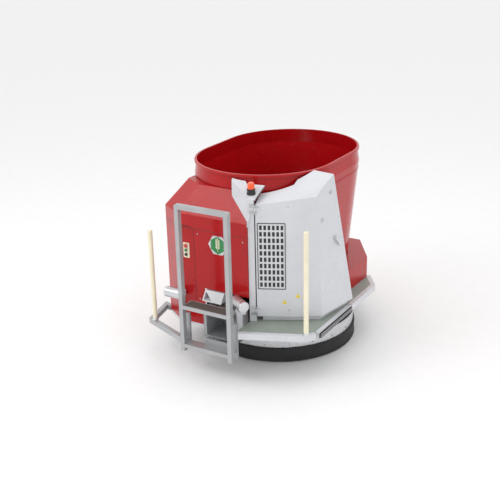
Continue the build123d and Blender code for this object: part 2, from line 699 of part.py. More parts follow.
def make_sensors():
    near, far = (sensor_plane(*sensor) for sensor in SENSORS)
    with BuildPart() as sensor_housings:
        for face in (near, far):
            with BuildSketch(face.offset(-SENSOR_L)):
                Circle(SENSOR_R)
            extrude(amount=SENSOR_L)
            with BuildSketch(face):
                Circle(SENSOR_R - 10)
            extrude(amount=-14, mode=Mode.SUBTRACT)
    save(sensor_housings, "sensor_housings")
    with BuildPart() as sensor_faces:
        for face in (near, far):
            with BuildSketch(face.offset(-14)):
                Circle(SENSOR_R - 10.1)
            extrude(amount=9)
            with BuildSketch(face.offset(-5)):
                Circle(SENSOR_R / 3)
            extrude(amount=5)
    save(sensor_faces, "sensor_faces")
    with BuildPart() as sensor_brackets:
        low = DECK_Z - DECK_T - 30
        with Locations((262, -1072, low)):
            Box(40, 44, 640 - low, align=(Align.CENTER, Align.CENTER, Align.MIN))
        with BuildSketch(near.offset(-110)):
            with Locations((-SENSOR_R - 18, 0)):
                Rectangle(36, 74)
        extrude(amount=80)
        far_x, far_y = SENSORS[1][:2]
        with Locations((far_x + SENSOR_L - 30, (HOOD_Y + far_y + SENSOR_R) / 2, SENSORS[1][2])):
            Box(60, HOOD_Y - far_y - SENSOR_R, 60)
    save(sensor_brackets, "sensor_brackets")


# ---- hood ------------------------------------------------------------------------
def hood_block():
    """The hood as a closed block."""
    far_x, far_y = HOOD_FAR
    plan = [(HOOD_LEFT, HOOD_Y), (HOOD_RIGHT, HOOD_Y), (HOOD_RIGHT, -500), (-200, -300),
            (-500, HOOD_END), (far_x, HOOD_END), (far_x, far_y)]
    block = prism(plan, HOOD_LOW, HOOD_TOP)
    rise = HOOD_TOP - HOOD_CREASE
    run = 150.0
    front = face_plane((HOOD_LEFT, HOOD_Y, HOOD_CREASE), (HOOD_RIGHT, HOOD_Y, HOOD_CREASE),
                       (HOOD_LEFT, HOOD_Y + run, HOOD_CREASE + rise))
    mid = ((HOOD_LEFT + far_x) / 2, (HOOD_Y + far_y) / 2)
    corner = face_plane((far_x, far_y, HOOD_CREASE), (HOOD_LEFT, HOOD_Y, HOOD_CREASE),
                        (mid[0] + 110, mid[1] + 200, HOOD_CREASE + rise))
    left = face_plane((far_x, HOOD_END, HOOD_CREASE), (far_x, far_y, HOOD_CREASE),
                      (far_x + 190, far_y, HOOD_CREASE + rise))
    for plane in (front, corner, left):
        block = block.split(plane, keep=Keep.BOTTOM)
    return block


def make_hood():
    with BuildPart() as hood_shell:
        add(hood_block())
        inner = hood_shell.faces().filter_by(lambda f: f.center().Y > -460 and abs(f.normal_at().Z) < 0.1
                                             and f.normal_at().X > -0.5)
        under = hood_shell.faces().sort_by(Axis.Z)[0]
        offset(amount=-SHEET, openings=[under] + list(inner))
        add(tub_envelope(TUB_GAP), mode=Mode.SUBTRACT)
        notch_w = HOOD_RIGHT + 60 - NOTCH_LEFT
        with Locations((NOTCH_LEFT, HOOD_Y - 50, HOOD_LOW - 10)):
            Box(notch_w, 200, NOTCH_TOP - HOOD_LOW + 10, align=(Align.MIN, Align.MIN, Align.MIN),
                mode=Mode.SUBTRACT)
        with BuildSketch(Plane.XZ.offset(-HOOD_Y - 20)):
            with Locations(RECESS_AT):
                RectangleRounded(*RECESS_SIZE, RECESS_R)
        extrude(amount=60, mode=Mode.SUBTRACT)
        add(recess_tray())
    save(hood_shell, "hood_shell")


def recess_tray():
    """The shallow tray behind the hood's tall opening."""
    with BuildPart(mode=Mode.PRIVATE) as tray:
        with BuildSketch(Plane.XZ.offset(-HOOD_Y)):
            with Locations(RECESS_AT):
                RectangleRounded(*RECESS_SIZE, RECESS_R)
        extrude(amount=-RECESS_DEPTH)
        offset(amount=-SHEET, openings=tray.faces().sort_by(Axis.Y)[0])
        with BuildSketch(Plane.XZ.offset(-HOOD_Y - 40)):
            for dz in BUTTON_Z:
                with Locations((PLATE_AT[0], PLATE_AT[1] + dz)):
                    Circle(BUTTON_STEM_R + BUTTON_FIT)
        extrude(amount=30, mode=Mode.SUBTRACT)
    return tray.part


def make_control_plate():
    x, z = PLATE_AT
    plate_y = HOOD_Y + RECESS_DEPTH - SHEET
    with BuildPart() as control_plate:
        with BuildSketch(Plane.XZ.offset(-plate_y)):
            with Locations((x, z)):
                RectangleRounded(*PLATE_SIZE, 8)
                for dz in BUTTON_Z:
                    with Locations((0, dz)):
                        Circle(BUTTON_STEM_R + BUTTON_FIT, mode=Mode.SUBTRACT)
        extrude(amount=6)
    save(control_plate, "control_plate")
    names = ("emergency_stop", "start_button", "pause_button")
    for name, dz, radius in zip(names, BUTTON_Z, (19, 15, 15)):
        with BuildPart() as button:
            with BuildSketch(Plane.XZ.offset(-plate_y + 0.6)):
                with Locations((x, z + dz)):
                    Circle(BUTTON_STEM_R)
            extrude(amount=11)
            with BuildSketch(Plane.XZ.offset(-plate_y + 11.6)):
                with Locations((x, z + dz)):
                    Circle(radius)
            extrude(amount=9)
        save(button, name)
    with BuildPart() as emblem_badge:
        with BuildSketch(Plane.XZ.offset(-HOOD_Y)):
            with Locations(EMBLEM):
                RegularPolygon(105, 6)
        extrude(amount=5)
        fillet(emblem_badge.edges().filter_by(Axis.Y), 18)
    save(emblem_badge, "emblem_badge")


# ---- cabinet ---------------------------------------------------------------------
def cabinet_planes(inset, ends):
    """Outer planes of the cabinet, moved inwards by inset; open ends move out by ends."""
    rear = CAB_REAR
    inside = Vector(640, -600, 1000)
    fold_1, fold_2 = CAB_FOLD_1, CAB_FOLD_2
    face_a = face_plane((*CAB_HINGE, 0), (*fold_1, 0), (*CAB_HINGE, 100))
    face_b = face_plane((*fold_1, 0), (*fold_2, 0), (*fold_1, 100))
    side = face_plane((*fold_2, CAB_LOW), (*rear, CAB_LOW), CAB_CORNER_2)
    roof_a = face_plane((*CAB_HINGE, CAB_ROOF_FRONT), (*fold_1, CAB_ROOF_FRONT), (430, -700, 1800))
    roof_b = face_plane((*fold_1, CAB_ROOF_FRONT), CAB_CORNER_2, CAB_CORNER_3)
    back = face_plane((*rear, CAB_LOW), (rear[0] - 300, rear[1], CAB_LOW), CAB_CORNER_3)
    shifted = [(face_a, -inset), (face_b, -inset), (side, -inset), (roof_a, -inset), (roof_b, -inset),
               (back, ends)]
    planes = []
    for plane, shift in shifted:
        outward = plane if (inside - plane.origin).dot(plane.z_dir) < 0 else -plane
        planes.append(outward.offset(shift))
    return planes


def cabinet_block(inset, ends, start):
    """The cabinet as a closed block cut from a tall prism by its outer planes."""
    low = CAB_LOW - ends
    block = prism([start, (start[0] + 60, -1100), (1100, -1100), (1100, 0), (420, 0), (start[0] - 40, -640)],
                  low, CAB_TOP)
    for plane in cabinet_planes(inset, ends):
        block = block.split(plane, keep=Keep.BOTTOM)
    return block


def make_cabinet():
    start = along(CAB_HINGE, CAB_FOLD_1, DOOR_GAP)
    with BuildPart() as cabinet_door:
        add(cabinet_block(0, 0, start))
        add(cabinet_block(SHEET, 40, (start[0] - 30, start[1] + 6)), mode=Mode.SUBTRACT)
        add(tub_envelope(TUB_GAP + 4), mode=Mode.SUBTRACT)
        add(roof_gap(), mode=Mode.SUBTRACT)
        add(grille_opening(), mode=Mode.SUBTRACT)
        for z in HINGE_Z:
            add(hinge_leaf(z, 1))
    save(cabinet_door, "cabinet_door")
    with BuildPart() as door_hinges:
        for z in HINGE_Z:
            add(hinge_leaf(z, -1))
    save(door_hinges, "door_hinges")


def roof_gap():
    """The wider gap between the front part of the roof and the tub."""
    front = Pos(ROOF_NOTCH_X - 400, -800, CAB_TOP) * Box(800, 800, 400, mode=Mode.PRIVATE)
    return tub_envelope(ROOF_GAP) & front


def hinge_leaf(z, side):
    """One half of a lift-off hinge: the door's knuckle (side 1) or the frame's knuckles and pin (-1)."""
    axis = Plane(origin=hinge_axis(z), x_dir=a_plane().x_dir, z_dir=(0, 0, 1))
    leaf_deep = HINGE_LEAF + HINGE_STAND
    leaf_out = HINGE_R + HINGE_STAND - leaf_deep / 2
    with BuildPart(mode=Mode.PRIVATE) as leaf:
        if side > 0:
            with BuildSketch(axis.offset(-14)):
                Circle(HINGE_R)
                with Locations((26, leaf_out)):
                    Rectangle(46, leaf_deep)
                Circle(HINGE_PIN_R + RUN_FIT, mode=Mode.SUBTRACT)
            extrude(amount=28)
        else:
            for low in (-45, 14.3):
                with BuildSketch(axis.offset(low)):
                    Circle(HINGE_R)
                    with Locations((-26, leaf_out)):
                        Rectangle(46, leaf_deep)
                extrude(amount=30.7)
            with BuildSketch(axis.offset(-45)):
                Circle(HINGE_PIN_R)
            extrude(amount=90)
    return leaf.part


def hinge_axis(z):
    """Where a hinge pin stands, just outside the gap beside the door."""
    spot = a_plane(HINGE_R + HINGE_STAND).from_local_coords((DOOR_GAP / 2, 0, 0))
    return (spot.X, spot.Y, z)


def post_block():
    """The fixed post beside the door."""
    back = Vector(-14, 30)
    s0, s1 = CAB_FACE_START, CAB_HINGE
    plan = [s0, s1, (s1[0] + back.X, s1[1] + back.Y), (s0[0] + back.X + 12, s0[1] + back.Y)]
    post = prism(plan, DECK_Z, CAB_TOP)
    return post.split(cabinet_planes(0, 0)[3], keep=Keep.BOTTOM)


def wedge(a, b, c, depth):
    """A triangular sheet through three points, thickened backwards and down."""
    face = Face(Wire.make_polygon([Vector(*a), Vector(*b), Vector(*c)], close=True))
    return Part() + Solid.extrude(face, Vector(0, depth, -depth))


def make_cabinet_frame():
    start = along(CAB_HINGE, CAB_FOLD_1, DOOR_GAP + 2)
    inset = SHEET + 2
    tray = cabinet_block(inset, -1, start) - cabinet_block(inset, -1 - SHEET, start)
    foot = prism([(380, -850), (630, -725), (845, -585), (910, -135), (690, -135), (660, -280), (390, -640)],
                 DECK_Z, CAB_LOW + 1)
    corner, low = (*CAB_HINGE, CAB_ROOF_FRONT), (HOOD_RIGHT + 4, HOOD_Y, HOOD_CREASE - 26)
    far_low, far_top = (62, -828, 1664), (62, -828, 1806)
    back = ((51, -794, 1831), (166, -769, 1819), (192, -803, 1790), (365, -747, 1783))
    gusset = wedge(far_low, far_top, corner, 8) + wedge(low, far_low, corner, 8)
    for first, second in zip((far_top, *back), back):
        gusset += wedge(corner, first, second, 8)
    with BuildPart() as cabinet_frame:
        add(tray)
        add(foot)
        add(post_block())
        add(gusset)
        with Locations((BEACON_AT[0], BEACON_AT[1], BEACON_AT[2] - 22)):
            Cylinder(BEACON_R, 22, align=(Align.CENTER, Align.CENTER, Align.MIN))
        add(tub_envelope(TUB_GAP), mode=Mode.SUBTRACT)
        add(hood_block(), mode=Mode.SUBTRACT)
        with Locations(BEACON_AT):
            Cylinder(BEACON_R + 4, 100, align=(Align.CENTER, Align.CENTER, Align.MIN), mode=Mode.SUBTRACT)
        for z in HINGE_Z:
            add(a_plane(15.0) * Pos(0, z, 0) * Box(120, 110, 30, mode=Mode.PRIVATE), mode=Mode.SUBTRACT)
    save(cabinet_frame, "cabinet_frame")
    with BuildPart() as beacon_base:
        with Locations(BEACON_AT):
            Cylinder(BEACON_R, BEACON_BASE_H, align=(Align.CENTER, Align.CENTER, Align.MIN))
    save(beacon_base, "beacon_base")
    with BuildPart() as beacon_lens:
        with Locations((BEACON_AT[0], BEACON_AT[1], BEACON_AT[2] + BEACON_BASE_H)):
            Cylinder(BEACON_R - 5, 58, align=(Align.CENTER, Align.CENTER, Align.MIN))
        fillet(beacon_lens.faces().sort_by(Axis.Z)[-1].edges(), 14)
    save(beacon_lens, "beacon_lens")
    with BuildPart() as control_box:
        with Locations((725, -380, CAB_LOW + 1 + SHEET)):
            Box(160, 220, 640, align=(Align.CENTER, Align.CENTER, Align.MIN))
    save(control_box, "control_box")


def side_plane(y, z, out):
    """A plane lying on the cabinet's side panel at a height, with its X along the panel."""
    panel = cabinet_planes(0, 0)[2]
    normal = panel.z_dir
    x = (normal.dot(panel.origin) - normal.Y * y - normal.Z * z) / normal.X
    run = Vector(CAB_REAR[0] - CAB_FOLD_2[0], CAB_REAR[1] - CAB_FOLD_2[1], 0)
    return Plane(origin=Vector(x, y, z) + normal * out, x_dir=run, z_dir=normal)


def make_side_latches():
    gap = 0.6
    for name, (y, z) in LOCKS.items():
        with BuildPart() as lock:
            with BuildSketch(side_plane(y, z, gap)):
                Circle(20)
            extrude(amount=6)
            with BuildSketch(side_plane(y, z, gap + 6)):
                Rectangle(8, 26)
            extrude(amount=6)
        save(lock, name)
    with BuildPart() as door_handle:
        with BuildSketch(side_plane(*HANDLE, gap)):
            Circle(22)
        extrude(amount=22)
        with BuildSketch(side_plane(*HANDLE, gap + 12)):
            reach = 48
            tilt = radians(HANDLE_TILT)
            with Locations(Location((reach * cos(tilt), reach * sin(tilt), 0), (0, 0, HANDLE_TILT))):
                RectangleRounded(120, 24, 9)
        extrude(amount=14)
    save(door_handle, "door_handle")


def make_rear_housing():
    outline = [(620, 130), (800, 130), (800, 575), (520, 1010), (-520, 1010), (-800, 575), (-800, 470),
               (-640, 470), (-470, 700), (-250, 850), (250, 850), (470, 700)]
    with BuildPart() as rear_housing:
        add(prism(outline, FRAME_Z + FRAME_H + 50, REAR_TOP))
        offset(amount=-SHEET, openings=rear_housing.faces().sort_by(Axis.Z)[0])
        with Locations((800, 380, DECK_Z + 0.5)):
            Box(400, 560, 300, align=(Align.CENTER, Align.CENTER, Align.MAX), mode=Mode.SUBTRACT)
        add(tub_envelope(TUB_GAP), mode=Mode.SUBTRACT)
    save(rear_housing, "rear_housing")


def a_plane(out=0.0):
    """Upright plane of the cabinet's front face, with its X along the face."""
    angle = atan2(CAB_FOLD_1[1] - CAB_HINGE[1], CAB_FOLD_1[0] - CAB_HINGE[0])
    return Plane(origin=(*CAB_HINGE, 0), x_dir=(cos(angle), sin(angle), 0),
                 z_dir=(sin(angle), -cos(angle), 0)).offset(out)


def grille_opening():
    """The block that opens the front panel for the vent grille."""
    return a_plane() * Pos(*VENT_AT, -SHEET / 2) * Box(VENT_W, VENT_H, SHEET * 8, mode=Mode.PRIVATE)


def make_grille():
    with BuildPart() as vent_grille:
        with BuildSketch(a_plane(-SHEET)):
            with Locations(VENT_AT):
                Rectangle(VENT_W, VENT_H)
                with GridLocations(VENT_W / 6.2, VENT_H / 10.2, 6, 10):
                    Rectangle(24, 44, mode=Mode.SUBTRACT)
        extrude(amount=SHEET)
    save(vent_grille, "vent_grille")


os.makedirs("parts", exist_ok=True)
make_chassis_frame()
make_deck()
make_side_buffer()
make_rod("near_rod", *NEAR_ROD)
make_rod("far_rod", *FAR_ROD)
make_tow_eye()
make_tub()
make_load_cells()
make_drive_train()
make_auger()
make_discharge()
make_drive_wheel(-1, "right")
make_drive_wheel(1, "left")
make_wheel_motors()
make_castor()
make_skirt()
make_gate()
make_dock()
make_sensors()
make_hood()
make_control_plate()
make_cabinet()
make_cabinet_frame()
make_side_latches()
make_rear_housing()
make_grille()
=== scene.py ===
"""Looks for a self-driving feed mixing and feeding cart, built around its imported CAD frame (metres)."""
from math import cos, pi, radians, sin

import bmesh
import bpy
from mathutils import Matrix, Vector
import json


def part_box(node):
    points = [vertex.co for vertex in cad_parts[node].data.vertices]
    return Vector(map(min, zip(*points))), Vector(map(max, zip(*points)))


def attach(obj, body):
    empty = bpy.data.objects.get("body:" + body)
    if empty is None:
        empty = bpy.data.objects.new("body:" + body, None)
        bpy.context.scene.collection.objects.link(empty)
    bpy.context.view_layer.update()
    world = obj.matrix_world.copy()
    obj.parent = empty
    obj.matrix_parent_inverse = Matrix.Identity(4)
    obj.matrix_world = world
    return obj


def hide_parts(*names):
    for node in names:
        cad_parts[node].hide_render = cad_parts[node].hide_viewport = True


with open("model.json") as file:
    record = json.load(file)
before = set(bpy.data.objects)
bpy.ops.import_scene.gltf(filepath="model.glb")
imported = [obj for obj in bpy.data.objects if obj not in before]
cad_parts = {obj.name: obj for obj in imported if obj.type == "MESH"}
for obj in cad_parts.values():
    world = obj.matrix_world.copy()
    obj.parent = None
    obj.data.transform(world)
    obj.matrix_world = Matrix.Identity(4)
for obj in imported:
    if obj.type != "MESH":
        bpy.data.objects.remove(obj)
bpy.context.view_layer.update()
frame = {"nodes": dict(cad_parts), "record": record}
NODES = frame["nodes"]

# ---- the camera, in the frame's own metres ----------------------------------
CAMERA_AT = (4.284, -7.441, 4.116)
CAMERA_AZIMUTH = 31.44
CAMERA_ELEVATION = 20.83
CAMERA_ROLL = -1.34
CAMERA_LENS = 64.8
SENSOR = 36.0

# ---- colours, linear ---------------------------------------------------------
RED = (0.42, 0.004, 0.006)
# a darker copy of RED: painted shade for the tub floor, the tub's inner seams and the hood recess's edge
SHADED_RED = (0.19, 0.006, 0.008)
RED_SPECULAR = 0.28
WHITE = (0.62, 0.63, 0.66)
SILVER = (0.42, 0.43, 0.44)
DECK = (0.30, 0.34, 0.30)
FRAME_GREY = (0.09, 0.095, 0.10)
STEEL = (0.50, 0.51, 0.52)
BLACK = (0.012, 0.012, 0.013)
CREAM = (0.86, 0.80, 0.60)
ORANGE = (0.80, 0.10, 0.02)
YELLOW = (0.80, 0.60, 0.05)
GREEN = (0.02, 0.22, 0.06)
COPPER = (0.60, 0.30, 0.14)


# ---- materials -----------------------------------------------------------------
def link(tree, a, out, b, into):
    tree.links.new(a.outputs[out], b.inputs[into])


def noise(tree, coords, scale, detail=4.0, stretch=(1, 1, 1)):
    """A noise texture in the object's own metres, with an optional stretch."""
    mapping = tree.nodes.new("ShaderNodeMapping")
    mapping.inputs["Scale"].default_value = stretch
    link(tree, coords, "Object", mapping, "Vector")
    node = tree.nodes.new("ShaderNodeTexNoise")
    node.inputs["Scale"].default_value = scale
    node.inputs["Detail"].default_value = detail
    link(tree, mapping, "Vector", node, "Vector")
    return node


def spread(tree, source, low, high, out="Fac"):
    """Map a texture's value onto a range."""
    node = tree.nodes.new("ShaderNodeMapRange")
    node.inputs["From Min"].default_value = 0.3
    node.inputs["From Max"].default_value = 0.7
    node.inputs["To Min"].default_value = low
    node.inputs["To Max"].default_value = high
    link(tree, source, out, node, "Value")
    return node


def surface(name, color, rough=0.35, metal=0.0, coat=0.0, vary=0.10, grain=350.0, bump=0.04,
            stretch=(1, 1, 1), patches=7.0, wear=None, cells=0.0, glow=0.0,
            specular=0.5):
    """A painted, metal or moulded finish: uneven colour, uneven roughness, a fine grain and worn edges."""
    material = bpy.data.materials.new(name)
    material.use_nodes = True
    tree = material.node_tree
    shader = tree.nodes["Principled BSDF"]
    shader.inputs["Metallic"].default_value = metal
    shader.inputs["Coat Weight"].default_value = coat
    shader.inputs["Coat Roughness"].default_value = 0.12
    shader.inputs["Specular IOR Level"].default_value = specular
    if glow:
        shader.inputs["Emission Color"].default_value = (*color, 1)
        shader.inputs["Emission Strength"].default_value = glow
    coords = tree.nodes.new("ShaderNodeTexCoord")
    broad = noise(tree, coords, patches, 6.0)
    mix = tree.nodes.new("ShaderNodeMix")
    mix.data_type = "RGBA"
    mix.inputs[6].default_value = (*(c * (1 - vary) for c in color), 1)
    mix.inputs[7].default_value = (*(min(1.0, c * (1 + vary)) for c in color), 1)
    tree.links.new(spread(tree, broad, 0.0, 1.0).outputs["Result"], mix.inputs[0])
    colour_out = mix.outputs[2]
    fine = noise(tree, coords, grain, 3.0, stretch)
    if wear:
        geometry = tree.nodes.new("ShaderNodeNewGeometry")
        edge = tree.nodes.new("ShaderNodeMapRange")
        edge.inputs["From Min"].default_value = 0.53
        edge.inputs["From Max"].default_value = 0.62
        link(tree, geometry, "Pointiness", edge, "Value")
        scuff = noise(tree, coords, 60.0, 5.0)
        both = tree.nodes.new("ShaderNodeMath")
        both.operation = "MULTIPLY"
        link(tree, edge, "Result", both, 0)
        tree.links.new(spread(tree, scuff, 0.0, 0.8).outputs["Result"], both.inputs[1])
        worn = tree.nodes.new("ShaderNodeMix")
        worn.data_type = "RGBA"
        worn.inputs[7].default_value = (*wear, 1)
        tree.links.new(both.outputs[0], worn.inputs[0])
        tree.links.new(colour_out, worn.inputs[6])
        colour_out = worn.outputs[2]
    tree.links.new(colour_out, shader.inputs["Base Color"])
    smudges = noise(tree, coords, patches * 3, 5.0)
    tree.links.new(spread(tree, smudges, max(0.02, rough - 0.07), rough + 0.09).outputs["Result"],
                   shader.inputs["Roughness"])
    relief = tree.nodes.new("ShaderNodeBump")
    relief.inputs["Strength"].default_value = bump
    relief.inputs["Distance"].default_value = 0.002
    if cells:
        pattern = tree.nodes.new("ShaderNodeTexVoronoi")
        pattern.inputs["Scale"].default_value = cells
        link(tree, coords, "Object", pattern, "Vector")
        link(tree, pattern, "Distance", relief, "Height")
    else:
        link(tree, fine, "Fac", relief, "Height")
    link(tree, relief, "Normal", shader, "Normal")
    return material


MATERIALS = {
    "red_paint": surface("red_paint", RED, 0.20, coat=0.12, vary=0.06, bump=0.01,
                         specular=RED_SPECULAR),
    # tub_red: the red paint darkened, painted shade inside the tub and along the hood recess's edge
    "tub_red": surface("tub_red", SHADED_RED, 0.38, coat=0.25, vary=0.18, bump=0.08, patches=4.0,
                       specular=RED_SPECULAR),
    "white_paint": surface("white_paint", WHITE, 0.32, coat=0.2, vary=0.03, bump=0.02),
    "grey_paint": surface("grey_paint", SILVER, 0.36, metal=0.35, vary=0.06, bump=0.03),
    "frame_paint": surface("frame_paint", FRAME_GREY, 0.5, vary=0.15, bump=0.1, wear=(0.3, 0.3, 0.3)),
    "deck_grey": surface("deck_grey", DECK, 0.6, vary=0.08, bump=0.35, cells=140.0),
    "steel": surface("steel", STEEL, 0.3, metal=1.0, vary=0.10, grain=90.0, bump=0.10, stretch=(1, 1, 14)),
    "cast": surface("cast", (0.20, 0.205, 0.21), 0.55, metal=0.6, vary=0.15, bump=0.5, grain=500.0),
    "alloy": surface("alloy", (0.66, 0.67, 0.69), 0.28, metal=0.85, vary=0.06, bump=0.05),
    "rubber": surface("rubber", BLACK, 0.62, vary=0.3, bump=0.25, grain=260.0),
    "tyre": surface("tyre", (0.02, 0.02, 0.021), 0.75, vary=0.25, bump=0.4, grain=180.0),
    "black_plastic": surface("black_plastic", (0.018, 0.018, 0.02), 0.42, vary=0.2, bump=0.12, grain=600.0),
    "cream_plastic": surface("cream_plastic", CREAM, 0.45, vary=0.05, bump=0.05),
    "lens_orange": surface("lens_orange", ORANGE, 0.12, coat=0.8, vary=0.10, bump=0.02, glow=0.25),
    "stop_red": surface("stop_red", (0.5, 0.01, 0.01), 0.22, coat=0.6, vary=0.06),
    "green_plastic": surface("green_plastic", GREEN, 0.28, coat=0.4, vary=0.06),
    "copper": surface("copper", COPPER, 0.25, metal=1.0, vary=0.12),
    "grip": surface("grip", (0.10, 0.09, 0.08), 0.6, vary=0.2, bump=0.3, grain=300.0),
    "yellow": surface("yellow", YELLOW, 0.4, vary=0.06),
}


def dress_cad():
    """Give every CAD node the finish of its record slot; the tub floor gets the darker red instead, as
    painted shade.
    """
    slots = {row["node"]: row["material_slot"] for row in frame["record"]["subparts"]}
    for name, obj in NODES.items():
        # the tub floor is painted in the darker red: painted shade at the bottom of the tub
        key = "tub_red" if name == "tub_floor" else slots[name]
        obj.data.materials.clear()
        obj.data.materials.append(MATERIALS[key])


# ---- detail pieces ------------------------------------------------------------------
def piece(name, verts, faces, body, key, stands_for=()):
    """One detail mesh that rides on a body, with its finish."""
    mesh = bpy.data.meshes.new(name)
    mesh.from_pydata([tuple(v) for v in verts], [], faces)
    build = bmesh.new()
    build.from_mesh(mesh)
    bmesh.ops.recalc_face_normals(build, faces=build.faces)
    build.to_mesh(mesh)
    build.free()
    mesh.materials.append(MATERIALS[key])
    obj = bpy.data.objects.new(name, mesh)
    bpy.context.collection.objects.link(obj)
    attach(obj, body)
    if stands_for:
        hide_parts(*stands_for)


def basis(normal):
    """Two directions across a normal, and the normal."""
    normal = Vector(normal).normalized()
    across = Vector((0, 0, 1)).cross(normal)
    across = across.normalized() if across.length > 0.01 else Vector((1, 0, 0))
    return across, normal.cross(across), normal


def angles(count):
    """Evenly spaced angles round a circle."""
    return [2 * pi * k / count for k in range(count)]


class Mesh:
    """Collects loops of corners into one mesh."""

    def __init__(self):
        self.verts, self.faces = [], []

    def loops(self, rings, closed=False):
        """Joins rings of corners in turn, into a tube with ends or a closed loop."""
        start, count = len(self.verts), len(rings[0])
        for ring in rings:
            self.verts += list(ring)
        last = len(rings) if closed else len(rings) - 1
        for i in range(last):
            a, b = start + i * count, start + ((i + 1) % len(rings)) * count
            for j in range(count):
                k = (j + 1) % count
                self.faces.append((a + j, a + k, b + k, b + j))
        if not closed:
            end = start + last * count
            self.faces.append(tuple(range(start, start + count))[::-1])
            self.faces.append(tuple(range(end, end + count)))

    def turned(self, at, normal, profile, sides=24, phase=0.0):
        """A turned shape: profile is (radius, height along the normal) pairs."""
        u, v, n = basis(normal)
        at = Vector(at)
        rings = []
        for radius, height in profile:
            rings.append([at + n * height + (u * cos(phase + 2 * pi * k / sides)
                          + v * sin(phase + 2 * pi * k / sides)) * radius for k in range(sides)])
        self.loops(rings)

    def bar(self, points, out, width, height, closed=False):
        """A flat bar along points, lifted along out."""
        out = Vector(out).normalized()
        points = [Vector(p) for p in points]
        rings = []
        for i, p in enumerate(points):
            before = points[i - 1] if i or closed else p
            after = points[(i + 1) % len(points)] if i + 1 < len(points) or closed else p
            side = (after - before).cross(out).normalized() * width / 2
            rings.append([p - side, p + side, p + side * 0.7 + out * height, p - side * 0.7 + out * height])
        self.loops(rings, closed=closed)

    def blob(self, at, normal, length, width, height, tilt):
        """A low pointed grain lying on a face."""
        u, v, n = basis(normal)
        a = u * cos(tilt) + v * sin(tilt)
        b = v * cos(tilt) - u * sin(tilt)
        rings = []
        for share, rise in ((1.0, 0.0), (0.75, 0.7), (0.3, 1.0)):
            rings.append([Vector(at) + n * height * rise + a * length / 2 * share * cos(t)
                          + b * width / 2 * share * sin(t) for t in angles(12)])
        self.loops(rings)

    def make(self, name, body, key, **options):
        """Adds the mesh to the scene."""
        piece(name, self.verts, self.faces, body, key, **options)


def bolts(name, spots, body, key="steel", radius=0.008):
    """Washer-faced hex bolts at (point, normal) spots."""
    mesh = Mesh()
    for at, normal in spots:
        mesh.turned(at, normal, [(radius * 1.45, 0), (radius * 1.4, radius * 0.25)], 16)
        mesh.turned(at, normal, [(radius, radius * 0.2), (radius, radius * 0.8), (radius * 0.8, radius)], 6)
    mesh.make(name, body, key)


UP, FRONT = (0, 0, 1), (0, -1, 0)
TUB_MID, TUB_HALF = 0.150, 0.240          # the tub oval's middle and half its straight length, along Y
SKIRT_AT = Vector((0.105, -0.037, 0.0))
HOOD_FRONT = -0.950
RECESS_FLOOR = -0.928
HOOD_SEAM_Z = 1.325
HINGE, FOLD_1, FOLD_2 = (0.345, -0.904), (0.638, -0.765), (0.879, -0.604)
DIAGONAL = (-0.722, -0.800), (-0.500, -0.950)
BEACON_X, BEACON_Y = 0.286, -0.860
FLIGHT_TURNS = 1.9


def oval(radius, z, count=24):
    """Points round the tub's oval, counter-clockwise from +X."""
    points = []
    for end in (1, -1):
        for k in range(count + 1):
            t = pi * k / count + (0 if end > 0 else pi)
            points.append(Vector((radius * cos(t), TUB_MID + end * TUB_HALF + radius * sin(t), z)))
    return points


def wall_radius(z):
    """The tub wall's outer end radius at a height."""
    return 0.590 + 0.110 * (z - 0.600) / 1.120


def make_flight():
    """The auger's screw: one smooth plate with a thick worn edge."""
    mesh = Mesh()
    rings = []
    steps = 220
    for k in range(steps + 1):
        share = k / steps
        t = 2 * pi * FLIGHT_TURNS * share + radians(9)
        outer, inner = 0.5 * (1 - 0.55 * share), 0.112 - 0.06 * share
        z = 0.628 + 0.79 * share
        d = Vector((cos(t), sin(t), 0))
        c = Vector((0, TUB_MID, z))
        rings.append([c + d * inner, c + d * (outer - 0.012), c + d * outer + Vector((0, 0, -0.006)),
                      c + d * outer + Vector((0, 0, 0.018)), c + d * (outer - 0.012) + Vector((0, 0, 0.012)),
                      c + d * inner + Vector((0, 0, 0.012))])
    mesh.loops(rings)
    mesh.make("screw_plate", "auger", "steel", stands_for=("auger_flight",))


def make_tub_trim():
    """Weld seams on the tub, and the screws of the cover over the skirt."""
    seams = Mesh()
    for z in (0.66, 1.640):
        seams.bar(oval(wall_radius(z) + 0.001, z), UP, 0.008, 0.010, closed=True)
    for end in (1, -1):
        ends = [(0, TUB_MID + end * (TUB_HALF + wall_radius(z)), z) for z in (0.6, 1.67)]
        seams.bar(ends, (0, end, 0), 0.012, 0.003)
    seams.make("tub_seams", "chassis", "red_paint")
    inside = Mesh()
    for z in (0.9, 1.3):
        inside.bar(oval(wall_radius(z) - 0.008, z), UP, 0.006, 0.010, closed=True)
    # the inner seams are in the darker red, the painted shade inside the tub
    inside.make("tub_inner_seams", "chassis", "tub_red")
    spots = []
    for k in range(18):
        t = 2 * pi * k / 18 + 0.1
        spots.append((SKIRT_AT + Vector((0.735 * cos(t), 0.735 * sin(t), 0.292)), UP))
    bolts("cover_bolts", spots, "chassis", radius=0.007)


def make_skirt_trim():
    """Lips on the rubber, and the joint plates of the band."""
    lips = Mesh()
    for z in (0.020, 0.034, 0.136):
        ring = [SKIRT_AT + Vector((0.7645 * cos(t), 0.7645 * sin(t), z)) for t in angles(96)]
        lips.bar(ring, UP, 0.006, 0.006, closed=True)
    lips.make("rubber_lips", "skirt", "rubber")
    joint = Mesh()
    for k in range(4):
        t = 2 * pi * k / 4 + 0.6
        d = Vector((cos(t), sin(t), 0))
        at = SKIRT_AT + d * 0.751
        joint.bar([at + Vector((0, 0, 0.158)), at + Vector((0, 0, 0.280))], d, 0.05, 0.003)
    joint.make("band_joints", "skirt", "alloy")


def face(p, q, u, z, out=0.0):
    """A point on an upright face through p and q, u along it, at height z."""
    p, q = Vector((*p, 0)), Vector((*q, 0))
    run = (q - p).normalized()
    normal = run.cross(Vector((0, 0, 1)))
    return p + run * u + Vector((0, 0, z)) + normal * out, normal


